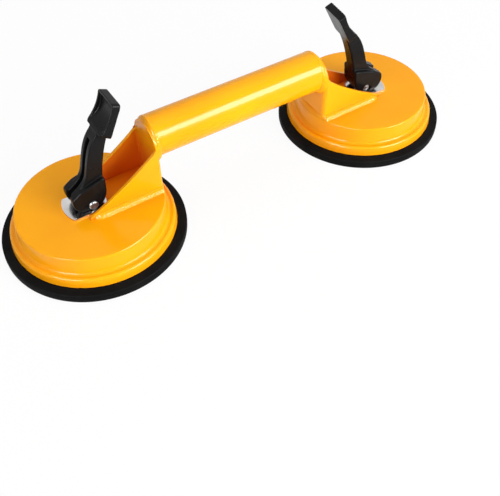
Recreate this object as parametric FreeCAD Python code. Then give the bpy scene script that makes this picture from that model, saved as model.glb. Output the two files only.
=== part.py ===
import FreeCAD, Part

import math
import os

from FreeCAD import Vector

# Double suction lifter for floor tiles: a tube handle, two welded brackets, two pressed steel cups
# on rubber pads, and a cam lever on each cup that draws the middle of its pad up to make the vacuum.
# All lengths are in millimetres and all angles in degrees.
# The origin is on the floor, midway between the cups. +X runs from the left cup to the right cup, +Z up.

# Layout
cup_spacing = 214.0          # between the axes of the two cups

# Rubber pad
pad_radius = 59.0
pad_thickness = 6.3          # under the rim of the cup
pad_edge_height = 5.7        # at the outer edge
pad_edge_round = 0.9
seal_lip_width = 3.2         # flat ring that touches the tile
seal_lip_slope = 1.2         # width of the slope from the lip up into the dish
dish_depth = 1.0
seal_ring_radii = (31.0, 43.0)
seal_ring_width = 2.4
seal_ring_height = 0.7
seal_ring_round = 0.4

# Cup, pressed from steel sheet
seat_gap = 0.2               # between the rim of the cup and the rubber
cup_height = 18.5            # rim to flat top
cup_sheet = 2.5
rubber_margin = 6.1          # rubber that shows around the rim of the cup
skirt_slope = 0.8            # how far the skirt leans in from the rim to the flange
flange_height = 6.3          # rim to the top of the flange
flange_width = 4.4
wall_slope = 0.8             # how far the wall leans in from the flange to the top
shoulder_round = 0.9
flange_round = 1.9
foot_fillet = 2.2
press_round = 0.8            # inner corners of the sheet

# Handle tube
tube_radius = 13.5
tube_wall = 2.0
tube_height = 57.2           # axis above the floor
tube_weld_length = 2.5       # leg of the bead along the tube
tube_weld_leg = 2.3          # leg of the bead on the bracket, where the bracket is wide enough
tube_weld_depth = 1.6        # how far it runs in behind the tube, over the bracket's bends and round top
tube_weld_fullness = 0.6     # middle of its face, as a share of its legs
tube_cap_fullness = 0.75     # middle of its cap over the round top, as a share of the depth

# Bracket, bent from steel sheet into a U that is open outboard
bracket_margin = 1.4         # of its half width over the radius of the tube
bracket_sheet = 2.3
bracket_bend = 3.0           # outer radius of the two upright bends
bracket_corner_inset = 0.6   # of the bent corners from the shoulder of the cup
bracket_top_step = 2.1       # its round top lies this far below the top of the tube
bracket_reach = 5.5          # past the axis of the cup
bracket_tip_height = 1.3     # side wall above the cup at its open end
bracket_shoulder_drop = 0.8  # the sloping edge starts this far below the axis of the tube
bracket_sag = 2.0            # how far the sloping edge hollows below a straight line
bracket_weld_leg = 2.2
bracket_weld_end = 3.2       # the bead stops this far before the open end

# Draw stud, with a flat tongue at its top
stud_radius = 5.5
stud_hole_gap = 0.5          # around the stud in the cup
tongue_thickness = 6.0
spigot_radius = 4.0
spigot_gap = 0.02            # around the spigot in the hub, and around the rivet in the lever
tongue_margin = 0.8          # flats that stay under the wear plate with the stud drawn up

# Insert, the steel disc that the rubber is moulded round
insert_radius = 32.0
insert_thickness = 2.4
insert_depth = 3.1           # rubber and dish under the disc
insert_gap = 0.2
hub_radius = 9.0
hub_height = 4.0
hub_round = 0.6

# Wear plate
wear_plate_thickness = 1.2
wear_plate_gap = 2.1         # between its long edges and the bracket
wear_plate_outboard = 17.0
wear_plate_inboard = 10.0
wear_plate_crown = 3.0       # rise of each curved end
wear_plate_corner = 1.0
tongue_gap = 0.15            # around the tongue in the wear plate and between the cheeks

# Lever, measured from the axis of its rivet: inboard, then up
rivet_radius = 2.0
rivet_head_radius = 3.1
rivet_head_height = 1.3
rivet_head_edge = 0.4        # upright part at the rim of the head
rivet_dish_radius = 1.8
rivet_dish_depth = 0.35
rivet_end_radius = 2.5       # the hammered end, which lies in a pocket of the far cheek
rivet_end_height = 0.5
rivet_pocket_depth = 1.0
rivet_pocket_gap = 0.4
rivet_gap = 0.06             # around the rivet in the eye of the stud
rivet_height = 3.4           # axis above the wear plate
cam_gap = 0.05               # between the cam and the wear plate
cam_rise = 5.5               # lift of the stud in mm for each radian of the lever
cam_heel = 1.0               # inboard end of the flat under the cam
lever_travel = 105.0
cam_overrun = 0.5
cheek_thickness = 4.85
cheek_step = ((-4.9, 12.8), (8.8, 16.8))   # the cheeks end in a step along this line
cheek_overlap = 3.0          # the shank starts this far down inside the cheeks
shank_half_width = 5.0
fork_gap = 0.5               # around the tongue as the lever turns
cheek_corner_round = 1.5
lever_edge_round = 0.9
inboard_edge = ((7.6, 0.0), (9.7, 4.6), (10.5, 10.7), (10.9, 18.3), (12.2, 25.1), (14.4, 33.4))
outboard_edge = (
    (-7.2, 11.7), (-3.0, 15.0), (-0.4, 18.6), (1.4, 24.1), (3.2, 30.8), (6.2, 39.1), (11.0, 46.2),
)
paddle_foot = (18.3, 43.9)   # lower inboard corner of the paddle
paddle_head = (28.1, 64.4)
paddle_tip = (23.2, 66.5)
paddle_hollow = (19.9, 57.4)  # middle of the hollow outboard face
paddle_lip = (12.2, 48.2)
paddle_half_width = 9.9
paddle_corner = 2.2
paddle_overlap = 0.1         # share of the height of the paddle that the shank runs up inside it
recess_depth = 2.2
recess_ends = (0.4, 0.6)     # share of that depth at its lower and its upper end
recess_rim = 1.6
recess_shelf = 2.6           # solid part of the paddle under the recess
groove_width = 3.4
groove_depth = 3.6
groove_top = 43.0

# How the two identical mechanisms stand at rest
swivel_at_rest = {"left": 0.0, "right": -7.0}
lean_at_rest = {"left": 0.0, "right": 2.2}   # further inboard than the flat under the cam sets it

# Places worked out from the sizes above
half_spacing = cup_spacing / 2
rim_radius = pad_radius - rubber_margin
flange_radius = rim_radius - skirt_slope
wall_foot_radius = flange_radius - flange_width
shoulder_radius = wall_foot_radius - wall_slope
rim_height = pad_thickness + seat_gap
cup_top = rim_height + cup_height
wear_plate_top = cup_top + wear_plate_thickness
rivet_level = wear_plate_top + rivet_height
cam_base = rivet_height - cam_gap
stud_travel = cam_rise * math.radians(lever_travel)
insert_bottom = insert_depth
insert_top = insert_bottom + insert_thickness
hub_top = insert_top + hub_height
tongue_foot = cup_top - stud_travel - tongue_margin
bracket_half_width = tube_radius + bracket_margin
bend_inset = bracket_bend * (1 - math.sqrt(0.5))
corner_across = bracket_half_width - bend_inset
corner_reach = shoulder_radius - bracket_corner_inset
bracket_back = bend_inset + math.sqrt(corner_reach**2 - corner_across**2)
tube_length = cup_spacing - 2 * bracket_back
wear_plate_half_width = bracket_half_width - bracket_sheet - wear_plate_gap
fork_half_width = tongue_thickness / 2 + tongue_gap
cheek_half_width = fork_half_width + cheek_thickness
far = 4 * cup_top            # longer than anything that a cut has to pass
near = 0.001                 # places closer than this are the same

up = Vector(0, 0, 1)
across = Vector(0, 1, 0)
inboard = Vector(1, 0, 0)


def side_plane(u, v):
    """Point in the upright plane through the cup and the handle."""
    return Vector(u, 0, v)


def plan_plane(u, v):
    """Point in a level plane."""
    return Vector(u, v, 0)


def front_plane(u, v):
    """Point in the upright plane that faces along the handle."""
    return Vector(0, u, v)


def lever_plane(u, v):
    """Point in the side view of the lever, measured from the rivet."""
    return Vector(u, 0, rivet_level + v)


def line(a, b):
    return Part.LineSegment(a, b).toShape()


def arc(a, b, c):
    return Part.Arc(a, b, c).toShape()


def spline(points):
    curve = Part.BSplineCurve()
    curve.interpolate(points)
    return curve.toShape()


def face(edges):
    return Part.Face(Part.Wire(edges))


def outline(corners, plane):
    """Closed face through corners (u, v, radius), with an arc at each corner that has a radius."""
    stops = []
    for i, (u, v, radius) in enumerate(corners):
        here = plane(u, v)
        before = plane(*corners[i - 1][:2]) - here
        after = plane(*corners[(i + 1) % len(corners)][:2]) - here
        if radius == 0:
            stops.append((here, here, here))
            continue
        half_angle = before.getAngle(after) / 2
        before.normalize()
        after.normalize()
        reach = radius / math.tan(half_angle)
        bisector = (before + after).normalize()
        middle = here + bisector * (radius / math.sin(half_angle) - radius)
        stops.append((here + before * reach, middle, here + after * reach))
    edges = []
    for i, (start, middle, end) in enumerate(stops):
        if start != end:
            edges.append(arc(start, middle, end))
        edges.append(line(end, stops[(i + 1) % len(stops)][0]))
    return face(edges)


def turned(profile):
    """Solid of revolution about the axis of the cup."""
    return profile.revolve(Vector(), up, 360)


def slab(profile, half_width):
    """Side view face made into a solid that reaches half_width each way across the handle."""
    return profile.translated(across * -half_width).extrude(across * (2 * half_width))


def level_cylinder(radius, half_length, x, z):
    """Cylinder across the handle."""
    start = Vector(x, -half_length, z)
    return Part.makeCylinder(radius, 2 * half_length, start, across)


def rubber_pad():
    """Disc with a sealing lip, two sealing rings in its dish and a pocket for the insert."""
    lip_inner = pad_radius - pad_edge_round - seal_lip_width
    underside = [(0, dish_depth, 0)]
    for radius in seal_ring_radii:
        half = seal_ring_width / 2
        underside.append((radius - half, dish_depth, 0))
        underside.append((radius, dish_depth - seal_ring_height, seal_ring_round))
        underside.append((radius + half, dish_depth, 0))
    underside += [(lip_inner - seal_lip_slope, dish_depth, 0), (lip_inner, 0, 0)]
    pocket_radius = insert_radius + insert_gap
    pocket_floor = insert_bottom - insert_gap
    rest = [
        (pad_radius, 0, pad_edge_round),
        (pad_radius, pad_edge_height, pad_edge_round),
        (rim_radius, pad_thickness, 0),
        (pocket_radius, pad_thickness, 0),
        (pocket_radius, pocket_floor, 0),
        (0, pocket_floor, 0),
    ]
    return turned(outline(underside + rest, side_plane))


def cup_plate():
    """Pressed cup: flat top, upright wall, stepped flange and a skirt that stands on the rubber."""
    flange_top = rim_height + flange_height
    hole = stud_radius + stud_hole_gap
    profile = [
        (hole, cup_top, 0),
        (shoulder_radius, cup_top, shoulder_round),
        (wall_foot_radius, flange_top, foot_fillet),
        (flange_radius, flange_top, flange_round),
        (rim_radius, rim_height, 0),
        (rim_radius - cup_sheet, rim_height, 0),
        (flange_radius - cup_sheet, flange_top - cup_sheet, press_round),
        (wall_foot_radius - cup_sheet, flange_top - cup_sheet, press_round),
        (shoulder_radius - cup_sheet, cup_top - cup_sheet, press_round),
        (hole, cup_top - cup_sheet, 0),
    ]
    return turned(outline(profile, side_plane))


def insert_disc():
    """Steel disc in the middle of the rubber, with a hub for the stud."""
    bore = spigot_radius + spigot_gap
    profile = [
        (bore, insert_bottom, 0),
        (insert_radius, insert_bottom, 0),
        (insert_radius, insert_top, 0),
        (hub_radius, insert_top, 0),
        (hub_radius, hub_top, hub_round),
        (bore, hub_top, 0),
    ]
    return turned(outline(profile, side_plane))


def draw_stud():
    """Round stud whose upper end is a flat tongue with an eye for the rivet."""
    spigot = Part.makeCylinder(spigot_radius, hub_top - insert_bottom, Vector(0, 0, insert_bottom), up)
    rod = Part.makeCylinder(stud_radius, rivet_level + stud_radius - hub_top, Vector(0, 0, hub_top), up)
    half = tongue_thickness / 2
    blade = slab(outline([
        (-far, tongue_foot, 0), (far, tongue_foot, 0), (far, rivet_level, 0), (-far, rivet_level, 0),
    ], side_plane), half)
    body = slab(outline([
        (-far, 0, 0), (far, 0, 0), (far, tongue_foot, 0), (-far, tongue_foot, 0),
    ], side_plane), far)
    rounded_end = level_cylinder(stud_radius, half, 0, rivet_level)
    keep = body.fuse([blade, rounded_end])
    eye = level_cylinder(rivet_radius + rivet_gap, far, 0, rivet_level)
    return rod.common(keep).fuse(spigot).cut(eye).removeSplitter()


def wear_plate():
    """Loose steel plate on the cup, slotted for the tongue, with a curved edge at each end."""
    w = wear_plate_half_width
    low = wear_plate_crown - wear_plate_outboard
    high = wear_plate_inboard - wear_plate_crown
    blank = face([
        line(plan_plane(low, w), plan_plane(high, w)),
        arc(plan_plane(high, w), plan_plane(wear_plate_inboard, 0), plan_plane(high, -w)),
        line(plan_plane(high, -w), plan_plane(low, -w)),
        arc(plan_plane(low, -w), plan_plane(-wear_plate_outboard, 0), plan_plane(low, w)),
    ])
    plate = blank.translated(up * cup_top).extrude(up * wear_plate_thickness)
    corners = [e for e in plate.Edges if abs(e.tangentAt(e.FirstParameter).z) > 0.99]
    plate = plate.makeFillet(wear_plate_corner, corners)
    hole = Part.makeCylinder(stud_radius + tongue_gap, far, Vector(0, 0, 0), up)
    side_view = outline([(-far, 0, 0), (far, 0, 0), (far, far, 0), (-far, far, 0)], side_plane)
    strip = slab(side_view, fork_half_width)
    return plate.cut(hole.common(strip))


def dome(radius, base, height):
    """Arc from the axis of the rivet out to radius, part of a sphere that stands on base."""
    sphere = (radius**2 + height**2) / (2 * height)
    half_turn = math.asin(radius / sphere) / 2
    middle = plan_plane(sphere * math.sin(half_turn), base + height - sphere * (1 - math.cos(half_turn)))
    return arc(plan_plane(0, base + height), middle, plan_plane(radius, base))


def lever_pin():
    """Rivet through the cheeks: a dished head on one, and its hammered end in a pocket of the other."""
    rim = -cheek_half_width
    crown = rim - rivet_head_height
    edge = rim - rivet_head_edge
    shoulder = Vector((rivet_dish_radius + rivet_head_radius) / 2, (crown + edge) / 2, 0)
    shoulder += Vector(1, -1, 0) * (rivet_head_height - rivet_head_edge) / 4
    dish = crown + rivet_dish_depth
    seat = cheek_half_width - rivet_pocket_depth
    tail = seat + rivet_end_height
    profile = face([
        dome(rivet_dish_radius, crown, rivet_dish_depth),
        arc(plan_plane(rivet_dish_radius, crown), shoulder, plan_plane(rivet_head_radius, edge)),
        line(plan_plane(rivet_head_radius, edge), plan_plane(rivet_head_radius, rim)),
        line(plan_plane(rivet_head_radius, rim), plan_plane(rivet_radius, rim)),
        line(plan_plane(rivet_radius, rim), plan_plane(rivet_radius, seat)),
        line(plan_plane(rivet_radius, seat), plan_plane(rivet_end_radius, seat)),
        dome(rivet_end_radius, seat, rivet_end_height),
        line(plan_plane(0, tail), plan_plane(0, dish)),
    ])
    return profile.revolve(Vector(), across, 360).translated(up * rivet_level)


def cam_point(degrees):
    """Point of the cam that bears on the wear plate once the lever has turned this far.

    The curve is an involute, so the rivet climbs cam_rise for each radian of the lever.
    """
    angle = math.radians(degrees)
    reach = cam_base + cam_rise * angle
    return (
        -math.sin(angle) * reach - math.cos(angle) * cam_rise,
        -math.cos(angle) * reach + math.sin(angle) * cam_rise,
    )


def lever_side():
    """Side view of cam, cheeks and shank. The shank runs up a little inside the paddle."""
    steps = 8
    end = lever_travel + cam_overrun
    cam = [lever_plane(*cam_point(end * i / steps)) for i in range(steps + 1)]
    heel = lever_plane(cam_heel, -cam_base)
    front = [cam[-1]] + [lever_plane(*p) for p in outboard_edge]
    back = [lever_plane(*p) for p in inboard_edge] + [lever_plane(*paddle_foot)]
    rise = back[0].z - heel.z
    heel_radius = ((back[0].x - heel.x) ** 2 + rise**2) / (2 * rise)
    heel_turn = math.atan2(back[0].x - heel.x, heel_radius - rise) / 2
    heel_middle = heel + Vector(math.sin(heel_turn), 0, 1 - math.cos(heel_turn)) * heel_radius
    head = lever_plane(*paddle_head)
    lip = lever_plane(*paddle_lip)
    inside_back = back[-1] + (head - back[-1]) * paddle_overlap
    inside_front = lip + (head - lip) * paddle_overlap
    return face([
        line(heel, cam[0]),
        spline(cam),
        spline(front),
        line(front[-1], inside_front),
        line(inside_front, inside_back),
        line(inside_back, back[-1]),
        spline(list(reversed(back))),
        arc(back[0], heel_middle, heel),
    ])


def under_step(drop):
    """Side view of everything below a line that lies drop under the step of the cheeks."""
    outer = lever_plane(*cheek_step[0]) - up * drop
    inner = lever_plane(*cheek_step[1]) - up * drop
    along = (inner - outer).normalize() * far
    return face([
        line(outer - along, inner + along),
        line(inner + along, inner + along - up * 2 * far),
        line(inner + along - up * 2 * far, outer - along - up * 2 * far),
        line(outer - along - up * 2 * far, outer - along),
    ])


def rims(solid, half_width):
    """Edges of a slab that lie in its two side faces."""
    return [e for e in solid.Edges if abs(abs(e.CenterOfMass.y) - half_width) < near]


def cheeks():
    """Wide foot of the lever, with the cam below and a step to the shank above."""
    block = slab(lever_side(), cheek_half_width).common(slab(under_step(0), 2 * cheek_half_width))
    above_heel = rivet_level + rivet_head_radius
    corners = [e for e in block.Edges if abs(e.CenterOfMass.y) < near and e.CenterOfMass.z > above_heel]
    block = block.makeFillet(cheek_corner_round, corners)
    return block.makeFillet(lever_edge_round, rims(block, cheek_half_width))


def shank():
    """Narrow arm from inside the cheeks to inside the paddle, rounded along its inboard edges."""
    arm = slab(lever_side(), shank_half_width).cut(slab(under_step(cheek_overlap), 2 * shank_half_width))
    middle = (inboard_edge[-1][0] + outboard_edge[-2][0]) / 2
    edges = [e for e in rims(arm, shank_half_width) if e.Length > shank_half_width]
    backs = [e for e in edges if e.CenterOfMass.x > middle]
    return arm.makeFillet(lever_edge_round, backs)


def paddle():
    """Thumb pad of the lever, with a hollow face and a recess inside a rim."""
    foot, head, tip, hollow, lip = [
        lever_plane(*p) for p in (paddle_foot, paddle_head, paddle_tip, paddle_hollow, paddle_lip)
    ]
    side = face([line(foot, head), line(head, tip), arc(tip, hollow, lip), line(lip, foot)])
    solid = slab(side, paddle_half_width)
    short = (head - foot).Length / 2
    corners = [e for e in rims(solid, paddle_half_width) if e.Length < short]
    solid = solid.makeFillet(paddle_corner, corners)
    along = (tip - lip).normalize()
    inward = Vector(along.z, 0, -along.x)
    floor = [
        lip + along * recess_shelf + inward * (recess_depth * recess_ends[0]),
        hollow + inward * recess_depth,
        tip - along * recess_rim + inward * (recess_depth * recess_ends[1]),
    ]
    recess = face([
        arc(*floor),
        line(floor[2], floor[2] - inward * far),
        line(floor[2] - inward * far, floor[0] - inward * far),
        line(floor[0] - inward * far, floor[0]),
    ])
    return solid.cut(slab(recess, paddle_half_width - recess_rim))


def fork():
    """Room between the cheeks for the tongue, over the whole travel of the lever."""
    reach = stud_radius + fork_gap
    angle = math.radians(lever_travel + max(lean_at_rest.values()))
    swing = (-math.sin(angle), -math.cos(angle))
    edge = (swing[1] * reach, -swing[0] * reach)
    sweep = face([
        line(lever_plane(0, 0), lever_plane(reach, 0)),
        line(lever_plane(reach, 0), lever_plane(reach, -far)),
        line(lever_plane(reach, -far), lever_plane(-far, -far)),
        line(lever_plane(-far, -far), lever_plane(edge[0] + swing[0] * far, edge[1] + swing[1] * far)),
        line(lever_plane(edge[0] + swing[0] * far, edge[1] + swing[1] * far), lever_plane(*edge)),
        line(lever_plane(*edge), lever_plane(0, 0)),
    ])
    return slab(sweep, fork_half_width).fuse(level_cylinder(reach, fork_half_width, 0, rivet_level))


def groove():
    """Slot down the outboard face of the shank, from under the paddle into the fork."""
    edge = [p for p in outboard_edge[1:] if p[1] < groove_top]
    bottom = [lever_plane(u + groove_depth, v) for u, v in edge]
    top = lever_plane(edge[-1][0] + groove_depth, groove_top)
    return slab(face([
        spline(bottom),
        line(bottom[-1], top),
        line(top, lever_plane(-far, groove_top)),
        line(lever_plane(-far, groove_top), lever_plane(-far, 0)),
        line(lever_plane(-far, 0), lever_plane(0, 0)),
        line(lever_plane(0, 0), bottom[0]),
    ]), groove_width / 2)


def lever():
    hole = level_cylinder(rivet_radius + spigot_gap, far, 0, rivet_level)
    pocket_start = Vector(0, cheek_half_width - rivet_pocket_depth, rivet_level)
    pocket = Part.makeCylinder(rivet_end_radius + rivet_pocket_gap, far, pocket_start, across)
    solid = cheeks().fuse([shank(), paddle()])
    return solid.cut([fork(), groove(), hole, pocket]).removeSplitter()


def bracket_outline(grow):
    """Plan of the outside of the bracket, made larger by grow."""
    w = bracket_half_width + grow
    back = bracket_back + grow
    return outline([
        (-bracket_reach, w, 0),
        (-bracket_reach, -w, 0),
        (back, -w, bracket_bend + grow),
        (back, w, bracket_bend + grow),
    ], plan_plane)


def bracket_front(height):
    """Front view of the bracket, with its round top, as a column along the handle."""
    w = bracket_half_width
    side = tube_height - bracket_shoulder_drop
    top = tube_height + tube_radius - bracket_top_step
    view = face([
        line(front_plane(w, height), front_plane(w, side)),
        arc(front_plane(w, side), front_plane(0, top), front_plane(-w, side)),
        line(front_plane(-w, side), front_plane(-w, height)),
        line(front_plane(-w, height), front_plane(w, height)),
    ])
    return view.translated(inboard * -far).extrude(inboard * 2 * far)


def bracket():
    """Bent U whose back takes the end of the tube and whose walls slope down to the cup."""
    height = tube_height + bracket_half_width
    walls = bracket_outline(0).cut(
        bracket_outline(-bracket_sheet).fuse(
            bracket_outline(-bracket_sheet).translated(inboard * -bracket_sheet)
        )
    ).translated(up * cup_top).extrude(up * height)
    shoulder = side_plane(bracket_back - bracket_sheet, tube_height - bracket_shoulder_drop)
    tip = side_plane(-bracket_reach, cup_top + bracket_tip_height)
    middle = (shoulder + tip) * 0.5 - up * bracket_sag
    side_view = face([
        line(side_plane(far, 0), side_plane(far, 2 * height)),
        line(side_plane(far, 2 * height), side_plane(shoulder.x, 2 * height)),
        line(side_plane(shoulder.x, 2 * height), shoulder),
        arc(shoulder, middle, tip),
        line(tip, side_plane(-far, tip.z)),
        line(side_plane(-far, tip.z), side_plane(-far, 0)),
        line(side_plane(-far, 0), side_plane(far, 0)),
    ])
    return walls.common(bracket_front(0)).common(slab(side_view, far)).removeSplitter()


def bracket_weld():
    """Bead round the foot of the bracket, which also fills under its bent corners."""
    leg = bracket_weld_leg
    start = bracket_weld_end - bracket_reach
    w = bracket_half_width
    back = bracket_back
    bend = bracket_bend
    path = Part.Wire([
        line(plan_plane(start, w), plan_plane(back - bend, w)),
        arc(
            plan_plane(back - bend, w),
            plan_plane(back - bend_inset, w - bend_inset),
            plan_plane(back, w - bend),
        ),
        line(plan_plane(back, w - bend), plan_plane(back, bend - w)),
        arc(
            plan_plane(back, bend - w),
            plan_plane(back - bend_inset, bend_inset - w),
            plan_plane(back - bend, -w),
        ),
        line(plan_plane(back - bend, -w), plan_plane(start, -w)),
    ])
    section = Part.Wire([Part.makeCircle(leg, plan_plane(start, w), inboard)])
    bead = path.makePipeShell([section], True, False)
    ends = [Part.makeSphere(leg, plan_plane(start, sign * w)) for sign in (1, -1)]
    column = bracket_outline(0).translated(up * cup_top).extrude(up * far)
    zone = Part.makeCylinder(shoulder_radius, far, Vector(0, 0, cup_top - shoulder_round), up)
    return bead.fuse(ends).translated(up * cup_top).cut([column, cup_plate()]).common(zone).removeSplitter()


def ring(profile):
    """Solid of revolution about the tube, from a profile with its corner on the back of the bracket."""
    return profile.revolve(Vector(), inboard, 360).translated(Vector(bracket_back, 0, tube_height))


def tube_weld():
    """Bead round the end of the tube: a fillet on the back of the bracket, and a cap over its round top."""
    leg = tube_weld_leg
    length = tube_weld_length
    depth = tube_weld_depth
    fillet = ring(face([
        line(plan_plane(-depth, tube_radius - leg), plan_plane(-depth, tube_radius + leg)),
        line(plan_plane(-depth, tube_radius + leg), plan_plane(0, tube_radius + leg)),
        arc(
            plan_plane(0, tube_radius + leg),
            plan_plane(length * tube_weld_fullness, tube_radius + leg * tube_weld_fullness),
            plan_plane(length, tube_radius),
        ),
        line(plan_plane(length, tube_radius), plan_plane(0, tube_radius)),
        line(plan_plane(0, tube_radius), plan_plane(0, tube_radius - leg)),
        line(plan_plane(0, tube_radius - leg), plan_plane(-depth, tube_radius - leg)),
    ]))
    cap = ring(face([
        line(plan_plane(0, tube_radius), plan_plane(0, tube_radius - leg)),
        line(plan_plane(0, tube_radius - leg), plan_plane(-depth, tube_radius - leg)),
        arc(
            plan_plane(-depth, tube_radius - leg),
            plan_plane(-depth * tube_cap_fullness, tube_radius - leg * (1 - tube_cap_fullness)),
            plan_plane(0, tube_radius),
        ),
    ]))
    column = bracket_outline(0).extrude(up * 2 * far)
    plate = column.common(bracket_front(0))
    return fillet.common(bracket_front(0)).fuse(cap).cut(plate).removeSplitter()


def handle_tube():
    start = Vector(-tube_length / 2, 0, tube_height)
    outer = Part.makeCylinder(tube_radius, tube_length, start, inboard)
    return outer.cut(Part.makeCylinder(tube_radius - tube_wall, tube_length, start, inboard))


def on_cup(shape, side, swivel):
    """Put a piece that was made about the axis of a cup on the left or right cup."""
    turn = swivel if side == "left" else 180 + swivel
    sign = -1 if side == "left" else 1
    return shape.rotated(Vector(), up, turn).translated(inboard * (sign * half_spacing))


os.makedirs("parts", exist_ok=True)

fixed = {
    "cup_plate": cup_plate(),
    "bracket": bracket(),
    "bracket_weld": bracket_weld(),
    "tube_weld": tube_weld(),
}
swivelling = {
    "rubber_pad": rubber_pad(),
    "insert_disc": insert_disc(),
    "draw_stud": draw_stud(),
    "wear_plate": wear_plate(),
}
tilting = {
    "lever": lever(),
    "lever_pin": lever_pin(),
}

parts = {"handle_tube": handle_tube()}
for side in ("left", "right"):
    swivel = swivel_at_rest[side]
    for name, shape in fixed.items():
        parts[side + "_" + name] = on_cup(shape, side, 0)
    for name, shape in swivelling.items():
        parts[side + "_" + name] = on_cup(shape, side, swivel)
    for name, shape in tilting.items():
        leant = shape.rotated(Vector(0, 0, rivet_level), across, lean_at_rest[side])
        parts[side + "_" + name] = on_cup(leant, side, swivel)

for name, shape in parts.items():
    shape.exportStep(os.path.join("parts", name + ".step"))
    print(name, "valid" if shape.isValid() else "not valid", len(shape.Solids), round(shape.Volume, 1))
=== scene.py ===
import math

import bpy
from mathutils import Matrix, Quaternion, Vector, noise


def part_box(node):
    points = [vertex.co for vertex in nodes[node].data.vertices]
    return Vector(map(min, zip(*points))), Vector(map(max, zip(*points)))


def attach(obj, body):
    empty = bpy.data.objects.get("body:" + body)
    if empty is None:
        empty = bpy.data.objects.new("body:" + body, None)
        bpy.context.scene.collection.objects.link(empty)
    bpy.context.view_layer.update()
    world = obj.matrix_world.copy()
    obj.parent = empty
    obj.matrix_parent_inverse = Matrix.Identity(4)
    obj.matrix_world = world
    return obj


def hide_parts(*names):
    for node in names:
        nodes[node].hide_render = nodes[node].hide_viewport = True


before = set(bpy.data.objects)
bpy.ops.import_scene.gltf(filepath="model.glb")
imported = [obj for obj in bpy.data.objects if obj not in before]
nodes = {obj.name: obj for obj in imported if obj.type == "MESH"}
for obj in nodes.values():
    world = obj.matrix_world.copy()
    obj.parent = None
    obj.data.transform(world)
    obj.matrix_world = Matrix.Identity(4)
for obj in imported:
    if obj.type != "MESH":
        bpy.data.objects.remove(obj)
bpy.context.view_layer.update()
scene = bpy.context.scene

# Sizes are in metres and angles in degrees, unless a name or a comment says otherwise.
mm = 0.001
sides = ("left", "right")

# Camera, as it stood for the photograph. It turns about the origin of the part.
frame_width_px = 500
frame_height_px = 496
sensor_width_mm = 36.0
lens_mm = 50.24
camera_azimuth = -30.857
camera_elevation = 42.773
camera_roll = -1.558
camera_distance = 0.4937
camera_near = 10 * mm
origin_px = (236.45, 167.81)      # where the origin of the part shows

# Lamps: name, direction of the lamp from the part, width, height, watts
lamp_distance = 1.3
lamps = (
    ("key", (0.40, -0.84, 0.38), 1.2, 0.8, 22),
    ("fill", (-0.80, -0.45, 0.4), 1.2, 0.8, 7),
    ("top", (0.15, 0.2, 1.0), 1.2, 1.2, 9),
)
cards = (                         # lamps that show in gloss alone
    ("key_card", (0.376, -0.774, 0.507), 0.8, 0.5, 38),
    ("fill_card", (-0.80, -0.33, 0.5), 0.6, 0.45, 27),
)
ambient = 0.14
floor_size = 6.0
floor_glow = 0.92                 # share of plain white in the floor that the eye sees
floor_colour = (0.86, 0.86, 0.86)

# Finish
paint_colour = (0.94, 0.395, 0.003)
paint_deep_colour = (0.90, 0.35, 0.0025)
painted_corner_shade_colour = (0.82, 0.17, 0.001)   # painted shade: deeper and redder inside corners, where little light reaches
paint_corner_roughness = 0.55
rubber_colour = (0.004, 0.004, 0.004)
rubber_bloom_colour = (0.0075, 0.0073, 0.007)
plastic_colour = (0.005, 0.005, 0.0052)
plastic_flow_colour = (0.008, 0.008, 0.0083)
zinc_colour = (0.66, 0.65, 0.64)
zinc_dull_colour = (0.5, 0.495, 0.49)
rivet_colour = (0.2, 0.205, 0.21)
rivet_worn_colour = (0.3, 0.3, 0.3)
inner_steel_colour = (0.42, 0.42, 0.41)
inner_steel_dull_colour = (0.3, 0.29, 0.28)

# Skin of the CAD solids: the solid is meshed again at this size and smoothed, which rounds its edges
skins = {
    "lever": (0.30 * mm, 8),
    "bracket": (0.30 * mm, 4),
}

# Cut edges of the wear plate
cut_edge_width = 0.45 * mm
cut_edge_angle = 40               # the least that an edge turns by
join_distance = 0.001 * mm

# Rubber pad, in millimetres
pad_turns = 256
dish_depth = 1.0
ring_radii = (31, 43)
ring_half_width = 1.3
ring_height = 0.7
lip_width = 4.1                   # flat ring that touches the tile, up to the radius of the pad
lip_slope = 1.2
parting_height = 2.5
parting_width = 0.2
parting_rise = 0.1
edge_lean = 0.15
ledge_fall = 0.6                  # from the rim of the cup to the edge of the pad
cup_bead_outside = (1.0, 1.6)     # top and foot of the bead round the cup, from the rim outward
cup_bead_inside = (0.4, 1.2)      # and from the rim inward
cup_bead_fall = 0.2               # from its top to its foot outside
cup_bead_dip = 0.1                # and inside
insert_gap = 0.2

# Weld beads
bead_step = 0.22 * mm             # between two stations along a bead
bead_least = 0.1 * mm
ripple_pitch = 1.8 * mm
ripple_share = 0.05               # of the leg
ripple_lean = 0.35                # how far the middle of a crescent runs ahead, as a share of the pitch
wave_weight = 0.5                 # of the even ripples, against 1 for the grain
drift_weight = 1.4                # of the slow change of width
drift_length = 7 * mm
drift_lane = 3.1                  # the two noises are read in lanes of their own
grain_length = 1.1 * mm
grain_lane = 7.7
foot_bead_leg = 3.0 * mm
foot_bead_end = 4.0 * mm          # length over which it runs out
foot_bead_overrun = 0.5           # share of the leg by which it stops short of the CAD bead
foot_bead_crown = 0.4             # from 0 for a flat face of the bead to 1 for a round one
foot_bead_root = 1.0 * mm         # how far its edge is sunk in the bracket
foot_bead_steps = 8               # across its face
tube_bead_leg = 2.3 * mm
tube_bead_length = 2.5 * mm
tube_bead_cap = 1.7 * mm          # how far it runs over the round top of the bracket
tube_cap_shortening = 0.35        # share of the length that it loses there
tube_fillet_bulge = (1.9 * mm, 1.7 * mm)    # along the tube and out from it
tube_cap_bulge = (-0.9 * mm, 0.1 * mm)
tube_bead_lift = (0.6, 0.8)       # direction in which its ripples rise
tube_bead_sink = 0.5 * mm         # how far its edge is sunk in the tube
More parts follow.
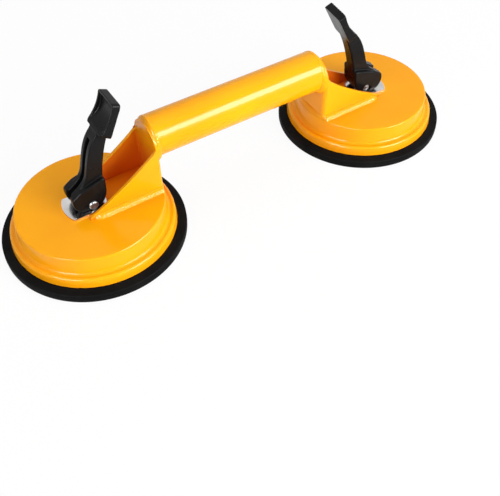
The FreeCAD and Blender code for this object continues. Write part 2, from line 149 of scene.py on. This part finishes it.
tube_bead_tuck = (-0.5 * mm, -0.4 * mm)     # and in the bracket
tube_bead_steps = 10
bracket_bend = 3.0 * mm
bracket_shoulder_drop = 0.8 * mm  # where the round top starts, below the axis of the tube
least_sine = 0.01                 # keeps the upright direction from a division by zero


class Surface:
    """Node material with one Principled shader, and short calls for what it is made from."""

    def __init__(self, name):
        self.material = bpy.data.materials.new(name)
        self.material.use_nodes = True
        self.nodes = self.material.node_tree.nodes
        self.links = self.material.node_tree.links
        self.shader = self.nodes["Principled BSDF"]
        self.place = self.nodes.new("ShaderNodeTexCoord").outputs["Object"]

    def set(self, **values):
        for name, value in values.items():
            self.shader.inputs[name.replace("_", " ")].default_value = value

    def stretched(self, scale):
        """Texture place squeezed by scale along each axis."""
        mapping = self.nodes.new("ShaderNodeMapping")
        mapping.inputs["Scale"].default_value = scale
        self.links.new(self.place, mapping.inputs["Vector"])
        return mapping.outputs["Vector"]

    def noise(self, size, detail=2.0, place=None):
        """Value from 0 to 1 whose patches are about size metres across."""
        node = self.nodes.new("ShaderNodeTexNoise")
        node.inputs["Scale"].default_value = 1 / size
        node.inputs["Detail"].default_value = detail
        self.links.new(place or self.place, node.inputs["Vector"])
        return node.outputs["Fac"]

    def openness(self, reach):
        """Value from 0 in a tight corner to 1 in the open, as seen within reach metres."""
        node = self.nodes.new("ShaderNodeAmbientOcclusion")
        node.samples = 8
        node.inputs["Distance"].default_value = reach
        return node.outputs["AO"]

    def ranged(self, value, to_low=0.0, to_high=1.0, low=0.3, high=0.7):
        """Value from to_low to to_high, as the given one goes from low to high."""
        node = self.nodes.new("ShaderNodeMapRange")
        node.inputs["From Min"].default_value = low
        node.inputs["From Max"].default_value = high
        node.inputs["To Min"].default_value = to_low
        node.inputs["To Max"].default_value = to_high
        self.links.new(value, node.inputs["Value"])
        return node.outputs["Result"]

    def mixed(self, factor, a, b):
        """Colour that goes from a to b with factor. Each is a colour or an output."""
        node = self.nodes.new("ShaderNodeMix")
        node.data_type = "RGBA"
        self.links.new(factor, node.inputs["Factor"])
        colours = [socket for socket in node.inputs if socket.type == "RGBA"]
        for socket, value in zip(colours, (a, b)):
            if isinstance(value, tuple):
                socket.default_value = (*value, 1.0)
            else:
                self.links.new(value, socket)
        return next(socket for socket in node.outputs if socket.type == "RGBA")

    def to(self, name, value):
        self.links.new(value, self.shader.inputs[name])

    def bump(self, *layers):
        """Layers are (height, metres) and lie one on another."""
        below = None
        for height, depth in layers:
            node = self.nodes.new("ShaderNodeBump")
            node.inputs["Strength"].default_value = 1.0
            node.inputs["Distance"].default_value = depth
            self.links.new(height, node.inputs["Height"])
            if below:
                self.links.new(below, node.inputs["Normal"])
            below = node.outputs["Normal"]
        self.links.new(below, self.shader.inputs["Normal"])


def powder_coat():
    """Gloss powder coat: orange peel, a slow change of tone, and painted shade with a rougher finish
    inside corners.
    """
    s = Surface("powder_coat")
    s.set(IOR=1.25)
    tone = s.mixed(s.ranged(s.noise(45 * mm)), paint_colour, paint_deep_colour)
    # Painted shade: the colour goes deeper and redder where ambient occlusion finds a corner within
    # reach; the same mask makes it rougher there.
    corner = s.ranged(s.openness(45 * mm), 1.0, 0.0, low=0.26, high=0.72)
    gloss = s.ranged(s.noise(6 * mm, detail=4), 0.14, 0.2)
    orange_peel = s.noise(1.3 * mm, detail=1)
    grain = s.noise(0.45 * mm, detail=1)
    s.to("Base Color", s.mixed(corner, tone, painted_corner_shade_colour))
    s.to("Roughness", s.mixed(corner, gloss, (paint_corner_roughness,) * 3))
    s.bump((orange_peel, 0.01 * mm), (grain, 0.003 * mm))
    return s.material


def rubber():
    """Matt black rubber with a faint bloom and a fine cast grain."""
    s = Surface("pad_rubber")
    s.set(Specular_IOR_Level=0.03)
    bloom = s.ranged(s.noise(14 * mm, detail=5), low=0.35, high=0.75)
    s.to("Base Color", s.mixed(bloom, rubber_colour, rubber_bloom_colour))
    s.to("Roughness", s.ranged(s.noise(5 * mm, detail=4), 0.5, 0.68))
    s.bump((s.noise(0.5 * mm, detail=3), 0.01 * mm))
    return s.material


def lever_plastic():
    """Glass filled nylon, black, with flow marks and a fine eroded texture."""
    s = Surface("lever_plastic")
    s.set(Specular_IOR_Level=0.09)
    flow = s.noise(9 * mm, detail=3, place=s.stretched((1.0, 1.0, 0.35)))
    s.to("Base Color", s.mixed(s.ranged(flow), plastic_colour, plastic_flow_colour))
    s.to("Roughness", s.ranged(flow, 0.2, 0.32))
    s.bump((s.noise(0.35 * mm, detail=2), 0.006 * mm))
    return s.material


def zinc():
    """Bright zinc plate on sheet steel, with the rolling direction and fine scratches."""
    s = Surface("bright_steel")
    s.set(Metallic=1.0)
    rolled = s.noise(4 * mm, detail=4, place=s.stretched((0.08, 1.0, 1.0)))
    cloud = s.noise(7 * mm, detail=3)
    s.to("Base Color", s.mixed(s.ranged(cloud), zinc_colour, zinc_dull_colour))
    s.to("Roughness", s.ranged(rolled, 0.12, 0.26))
    s.bump((rolled, 0.01 * mm))
    return s.material


def plain_steel(name, colour, worn_colour, patch, smooth, rough):
    """Bare steel with worn patches about patch metres across. Its roughness goes from smooth to rough."""
    s = Surface(name)
    s.set(Metallic=1.0)
    cloud = s.noise(patch, detail=4)
    s.to("Base Color", s.mixed(s.ranged(cloud), colour, worn_colour))
    s.to("Roughness", s.ranged(cloud, smooth, rough))
    s.bump((s.noise(0.3 * mm, detail=2), 0.004 * mm))
    return s.material


finishes = {
    "powder_coat": powder_coat(),
    "pad_rubber": rubber(),
    "lever_plastic": lever_plastic(),
    "bright_steel": zinc(),
    "inner_steel": plain_steel(
        "inner_steel", inner_steel_colour, inner_steel_dull_colour, 8 * mm, 0.35, 0.5
    ),
}


def dress_nodes():
    """Give each CAD node the finish of the slot that it names, and the rivets their own steel."""
    for node in nodes.values():
        slot = node.data.materials[0].name.split(".")[0]
        node.data.materials[0] = finishes[slot]
    rivet = plain_steel("rivet_steel", rivet_colour, rivet_worn_colour, 1.5 * mm, 0.3, 0.4)
    for side in sides:
        nodes[side + "_lever_pin"].data.materials[0] = rivet


def skin_nodes():
    """Round the edges of the moulded and bent pieces."""
    for name, (size, smoothing) in skins.items():
        for side in sides:
            node = nodes[side + "_" + name]
            remesh = node.modifiers.new("skin", "REMESH")
            remesh.mode = "VOXEL"
            remesh.voxel_size = size
            remesh.use_smooth_shade = True
            smooth = node.modifiers.new("round", "SMOOTH")
            smooth.iterations = smoothing


def ease_wear_plates():
    """Small bright rounding on the cut edges of the sheet."""
    for side in sides:
        node = nodes[side + "_wear_plate"]
        weld = node.modifiers.new("join", "WELD")
        weld.merge_threshold = join_distance
        bevel = node.modifiers.new("edges", "BEVEL")
        bevel.width = cut_edge_width
        bevel.segments = 3
        bevel.limit_method = "ANGLE"
        bevel.angle_limit = math.radians(cut_edge_angle)
        bevel.harden_normals = True


def new_piece(name, points, faces, slot, body):
    """Smooth mesh piece with the finish of a slot, which moves with a body."""
    mesh = bpy.data.meshes.new(name)
    mesh.from_pydata(points, [], faces)
    mesh.shade_smooth()
    mesh.materials.append(finishes[slot])
    obj = bpy.data.objects.new(name, mesh)
    scene.collection.objects.link(obj)
    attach(obj, body)
    return obj


def strip_faces(stations, width, closed):
    """Faces of a grid of stations, each with width points."""
    faces = []
    for i in range(stations if closed else stations - 1):
        here = i * width
        there = (i + 1) % stations * width
        for j in range(width - 1):
            faces.append((here + j, here + j + 1, there + j + 1, there + j))
    return faces


def rounded(corners, steps=5):
    """Points (r, z) through corners (r, z, radius), with an arc at each corner that has a radius."""
    points = []
    for i, (r, z, radius) in enumerate(corners):
        here = Vector((r, z))
        if radius == 0:
            points.append(here)
            continue
        before = (Vector(corners[i - 1][:2]) - here).normalized()
        after = (Vector(corners[i + 1][:2]) - here).normalized()
        half = before.angle(after) / 2
        centre = here + (before + after).normalized() * radius / math.sin(half)
        start = here + before * radius / math.tan(half) - centre
        end = here + after * radius / math.tan(half) - centre
        points += [centre + start.slerp(end, k / steps) * radius for k in range(steps + 1)]
    return points


def cup_axis(side):
    low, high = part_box(side + "_cup_plate")
    return (low + high) / 2


def inboard_sign(side):
    return 1 if side == "left" else -1


def from_axis(side, low, high):
    """Outboard and inboard end of a box, counted inboard from the axis of the cup."""
    axis = cup_axis(side)
    if side == "left":
        return low.x - axis.x, high.x - axis.x
    return axis.x - high.x, axis.x - low.x


def pad_corners(radius, rim, ledge, pocket, floor):
    """Half section of the rubber pad, in millimetres."""
    lip = radius - lip_width
    edge = radius - parting_rise
    half = parting_width / 2
    bead_top, bead_foot = cup_bead_outside
    inner_top, inner_foot = cup_bead_inside
    corners = [(0, dish_depth, 0)]
    for ring in ring_radii:
        corners += [
            (ring - ring_half_width, dish_depth, 0.3),
            (ring, dish_depth - ring_height, 0.4),
            (ring + ring_half_width, dish_depth, 0.3),
        ]
    return corners + [
        (lip - lip_slope, dish_depth, 0.3),
        (lip, 0, 0.3),
        (edge, 0, 0.5),
        (edge, parting_height - parting_width, 0.1),
        (radius, parting_height - half, 0.05),
        (radius, parting_height + half, 0.05),
        (edge, parting_height + parting_width, 0.1),
        (radius - edge_lean, ledge - ledge_fall, 0.9),
        (rim + bead_foot, ledge - cup_bead_fall, 0.3),
        (rim + bead_top, ledge, 0.2),
        (rim - inner_top, ledge, 0.2),
        (rim - inner_foot, ledge - cup_bead_dip, 0.1),
        (pocket, ledge - cup_bead_dip, 0.2),
        (pocket, floor, 0.3),
        (0, floor, 0),
    ]


def rubber_pad(side):
    """Moulded pad: sealing lip, rings in the dish, parting line on the edge and a bead round the cup."""
    low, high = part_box(side + "_rubber_pad")
    cup_low, cup_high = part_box(side + "_cup_plate")
    disc_low, disc_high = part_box(side + "_insert_disc")
    section = rounded(pad_corners(
        radius=(high.x - low.x) / 2 / mm,
        rim=(cup_high.x - cup_low.x) / 2 / mm,
        ledge=high.z / mm,
        pocket=(disc_high.x - disc_low.x) / 2 / mm + insert_gap,
        floor=disc_low.z / mm - insert_gap,
    ))
    centre = cup_axis(side)
    points = []
    for i in range(pad_turns):
        angle = 2 * math.pi * i / pad_turns
        for r, z in section:
            points.append((centre.x + r * mm * math.cos(angle), r * mm * math.sin(angle), z * mm))
    faces = strip_faces(pad_turns, len(section), closed=True)
    pad = new_piece(side + "_pad_moulding", points, faces, "pad_rubber", side + "_pad")
    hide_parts(side + "_rubber_pad")


def ripple(s, lean):
    """Factor by which a weld bead swells or shrinks at s along it. Its ripples are crescents."""
    wave = math.cos(2 * math.pi * (s / ripple_pitch + ripple_lean * lean))
    drift = noise.noise(Vector((s / drift_length, drift_lane, lean)))
    grain = noise.noise(Vector((s / grain_length, grain_lane, lean * 2)))
    return 1 + ripple_share * (wave * wave_weight + drift * drift_weight + grain)


def foot_path(half_width, back, start):
    """Stations along the foot of a bracket, from one open end to the other.

    Each is (length so far, length to the nearer end, place in plan, outward direction in plan).
    """
    bend = bracket_bend
    straight = back - bend - start
    turn = bend * math.pi / 2
    rear = 2 * (half_width - bend)
    total = 2 * straight + 2 * turn + rear
    stations = []
    count = int(total / bead_step)
    for i in range(count + 1):
        s = total * i / count
        sign = 1 if s < total / 2 else -1
        d = min(s, total - s)
        if d < straight:
            place = Vector((start + d, half_width))
            outward = Vector((0, 1))
        elif d < straight + turn:
            angle = (d - straight) / bend
            outward = Vector((math.sin(angle), math.cos(angle)))
            place = Vector((back - bend, half_width - bend)) + outward * bend
        else:
            place = Vector((back, half_width - bend - (d - straight - turn)))
            outward = Vector((1, 0))
        place.y *= sign
        outward.y *= sign
        stations.append((s, d, place, outward))
    return stations


def crowned(round_share, flat_share):
    """Place on the face of the foot bead, between that on a round and that on a flat face."""
    return foot_bead_crown * round_share + (1 - foot_bead_crown) * flat_share


def foot_bead(side):
    """Rippled fillet weld round the foot of the bracket, kept on the top of the cup."""
    low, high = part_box(side + "_bracket")
    cup_low, cup_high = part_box(side + "_cup_plate")
    weld_low, weld_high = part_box(side + "_bracket_weld")
    axis = cup_axis(side)
    inboard = inboard_sign(side)
    back = from_axis(side, low, high)[1]
    weld_start, shoulder = from_axis(side, weld_low, weld_high)
    stations = foot_path(high.y, back, weld_start + foot_bead_leg * foot_bead_overrun)
    points = []
    for s, from_end, place, outward in stations:
        taper = math.sqrt(min(1.0, (from_end + bead_least) / foot_bead_end))
        along = place.dot(outward)
        room = math.sqrt(max(0.0, along**2 - place.length_squared + shoulder**2)) - along
        section = []
        for k in range(foot_bead_steps + 1):
            share = k / foot_bead_steps
            angle = math.pi / 2 * share
            leg = foot_bead_leg * taper * ripple(s, math.sin(2 * angle))
            out = min(leg, max(room, bead_least)) * crowned(math.cos(angle), 1 - share)
            rise = leg * crowned(math.sin(angle), share)
            section.append((out, rise))
        section.append((-foot_bead_root, rise))
        for out, rise in section:
            x = axis.x + inboard * (place.x + outward.x * out)
            points.append((x, place.y + outward.y * out, cup_high.z + rise))
    faces = strip_faces(len(stations), len(section), closed=False)
    bead = new_piece(side + "_foot_bead", points, faces, "powder_coat", "frame")
    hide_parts(side + "_bracket_weld")


def bend_depth(across, half_width):
    """How far the bent corner of the bracket lies behind its back, across from its middle."""
    into = max(0.0, min(abs(across) - (half_width - bracket_bend), bracket_bend))
    return bracket_bend - math.sqrt(bracket_bend**2 - into**2)


def bracket_edge(sine, cosine, half_width, top):
    """Distance from the axis of the tube to the outline of the bracket, seen along the tube."""
    shoulder = -bracket_shoulder_drop
    edge = half_width / max(abs(sine), least_sine)
    if cosine * edge > shoulder:
        centre = (top**2 - half_width**2 - shoulder**2) / (2 * (top - shoulder))
        edge = centre * cosine + math.sqrt((top - centre) ** 2 - (centre * sine) ** 2)
    return edge


def tube_bead_section(s, tube, reach, behind, cap):
    """Points (along the tube, out from its axis) across the bead, at s along it.

    The bead goes from a fillet on the bracket at cap 0 to a cap over its round top at cap 1.
    """
    length = tube_bead_length * (1 - tube_cap_shortening * cap) * ripple(s, 0)
    start = Vector((length, tube))
    end = Vector((-behind, reach))
    fillet_bulge = Vector((tube_fillet_bulge[0], tube + tube_fillet_bulge[1]))
    cap_bulge = Vector((tube_cap_bulge[0], tube + tube_cap_bulge[1]))
    bulge = fillet_bulge.lerp(cap_bulge, cap)
    section = [start - Vector((0, tube_bead_sink))]
    for k in range(tube_bead_steps + 1):
        t = k / tube_bead_steps
        place = start * (1 - t) ** 2 + bulge * 2 * t * (1 - t) + end * t**2
        lift = (ripple(s, math.sin(math.pi * t)) - 1) * 4 * t * (1 - t)
        section.append(place + Vector(tube_bead_lift) * lift * tube_bead_leg)
    section.append(end + Vector(tube_bead_tuck))
    return section


def tube_bead(side):
    """Rippled weld round the end of the tube: a fillet on the bracket, and a cap over its round top."""
    low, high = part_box(side + "_bracket")
    tube_low, tube_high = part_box("handle_tube")
    inboard = inboard_sign(side)
    back = high.x if side == "left" else low.x
    tube = (tube_high.z - tube_low.z) / 2
    axis_height = (tube_high.z + tube_low.z) / 2
    half_width = high.y
    top = high.z - axis_height
    full_reach = tube + tube_bead_leg
    turns = int(2 * math.pi * tube / bead_step)
    points = []
    for i in range(turns):
        angle = 2 * math.pi * i / turns
        sine = math.sin(angle)
        cosine = math.cos(angle)
        reach = min(bracket_edge(sine, cosine, half_width, top), full_reach)
        cap = (full_reach - reach) / (full_reach - top)
        behind = max(bend_depth(reach * sine, half_width), tube_bead_cap * cap)
        section = tube_bead_section(tube * angle, tube, reach, behind, cap)
        for along, out in section:
            points.append((back + inboard * along, out * sine, axis_height + out * cosine))
    faces = strip_faces(turns, len(section), closed=True)
    bead = new_piece(side + "_tube_bead", points, faces, "powder_coat", "frame")
    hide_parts(side + "_tube_weld")


def make_camera():
    camera = bpy.data.objects.new("camera", bpy.data.cameras.new("camera"))
    scene.collection.objects.link(camera)
    scene.camera = camera
    camera.data.sensor_width = sensor_width_mm
    camera.data.lens = lens_mm
    camera.data.clip_start = camera_near
    azimuth = math.radians(camera_azimuth)
    elevation = math.radians(camera_elevation)
    back = Vector((
        math.sin(azimuth) * math.cos(elevation),
        -math.cos(azimuth) * math.cos(elevation),
        math.sin(elevation),
    ))
    focal_px = lens_mm / sensor_width_mm * frame_width_px
    aim = Vector((
        (origin_px[0] - frame_width_px / 2) / focal_px,
        (frame_height_px / 2 - origin_px[1]) / focal_px,
        -1,
    )).normalized()
    level = (-back).to_track_quat("-Z", "Y")
    roll = Quaternion((0, 0, 1), math.radians(camera_roll))
    swing = aim.rotation_difference(Vector((0, 0, -1)))
    camera.rotation_mode = "QUATERNION"
    camera.rotation_quaternion = level @ roll @ swing
    camera.location = back * camera_distance


def softbox(name, direction, width, height, watts, gloss_only=False):
    """Rectangular lamp that looks at the part from a direction.

    A gloss_only lamp shows as a highlight and adds no other light. Any other lamp shows no highlight.
    """
    lamp = bpy.data.lights.new(name, "AREA")
    lamp.shape = "RECTANGLE"
    lamp.size = width
    lamp.size_y = height
    lamp.energy = watts
    holder = bpy.data.objects.new(name, lamp)
    scene.collection.objects.link(holder)
    towards = Vector(direction).normalized()
    holder.location = towards * lamp_distance
    holder.rotation_mode = "QUATERNION"
    holder.rotation_quaternion = (-towards).to_track_quat("-Z", "Y")
    holder.visible_diffuse = not gloss_only
    holder.visible_glossy = gloss_only


def seen_ray(tree):
    """Output that is 1 for a ray that the eye follows: straight, mirrored or through glass."""
    path = tree.nodes.new("ShaderNodeLightPath")
    total = path.outputs["Is Camera Ray"]
    for name in ("Is Glossy Ray", "Is Transmission Ray"):
        add = tree.nodes.new("ShaderNodeMath")
        add.operation = "MAXIMUM"
        tree.links.new(total, add.inputs[0])
        tree.links.new(path.outputs[name], add.inputs[1])
        total = add.outputs[0]
    return total


def mix_shaders(tree, factor, dim, bright, out):
    """Send a mix of two shader nodes to an output node."""
    mix = tree.nodes.new("ShaderNodeMixShader")
    tree.links.new(factor, mix.inputs["Fac"])
    tree.links.new(dim.outputs[0], mix.inputs[1])
    tree.links.new(bright.outputs[0], mix.inputs[2])
    tree.links.new(mix.outputs[0], out.inputs["Surface"])


def make_world():
    """White behind the part, and a plain level of light on it."""
    world = bpy.data.worlds.new("studio")
    scene.world = world
    world.use_nodes = True
    tree = world.node_tree
    tree.nodes.clear()
    white = tree.nodes.new("ShaderNodeBackground")
    light = tree.nodes.new("ShaderNodeBackground")
    light.inputs["Strength"].default_value = ambient
    for background in (white, light):
        background.inputs["Color"].default_value = (1, 1, 1, 1)
    out = tree.nodes.new("ShaderNodeOutputWorld")
    mix_shaders(tree, seen_ray(tree), light, white, out)


def make_floor():
    """White floor that keeps a soft shadow."""
    bpy.ops.mesh.primitive_plane_add(size=floor_size)
    floor = bpy.context.object
    floor.name = "floor"
    material = bpy.data.materials.new("floor")
    material.use_nodes = True
    tree = material.node_tree
    tree.nodes.clear()
    diffuse = tree.nodes.new("ShaderNodeBsdfDiffuse")
    diffuse.inputs["Color"].default_value = (*floor_colour, 1)
    white = tree.nodes.new("ShaderNodeEmission")
    share = tree.nodes.new("ShaderNodeMath")
    share.operation = "MULTIPLY"
    share.inputs[1].default_value = floor_glow
    tree.links.new(seen_ray(tree), share.inputs[0])
    out = tree.nodes.new("ShaderNodeOutputMaterial")
    mix_shaders(tree, share.outputs[0], diffuse, white, out)
    floor.data.materials.append(material)


dress_nodes()
skin_nodes()
ease_wear_plates()
for side in sides:
    rubber_pad(side)
    foot_bead(side)
    tube_bead(side)
make_camera()
make_world()
make_floor()
for lamp in lamps:
    softbox(*lamp)
for card in cards:
    softbox(*card, gloss_only=True)

scene.view_settings.view_transform = "Standard"
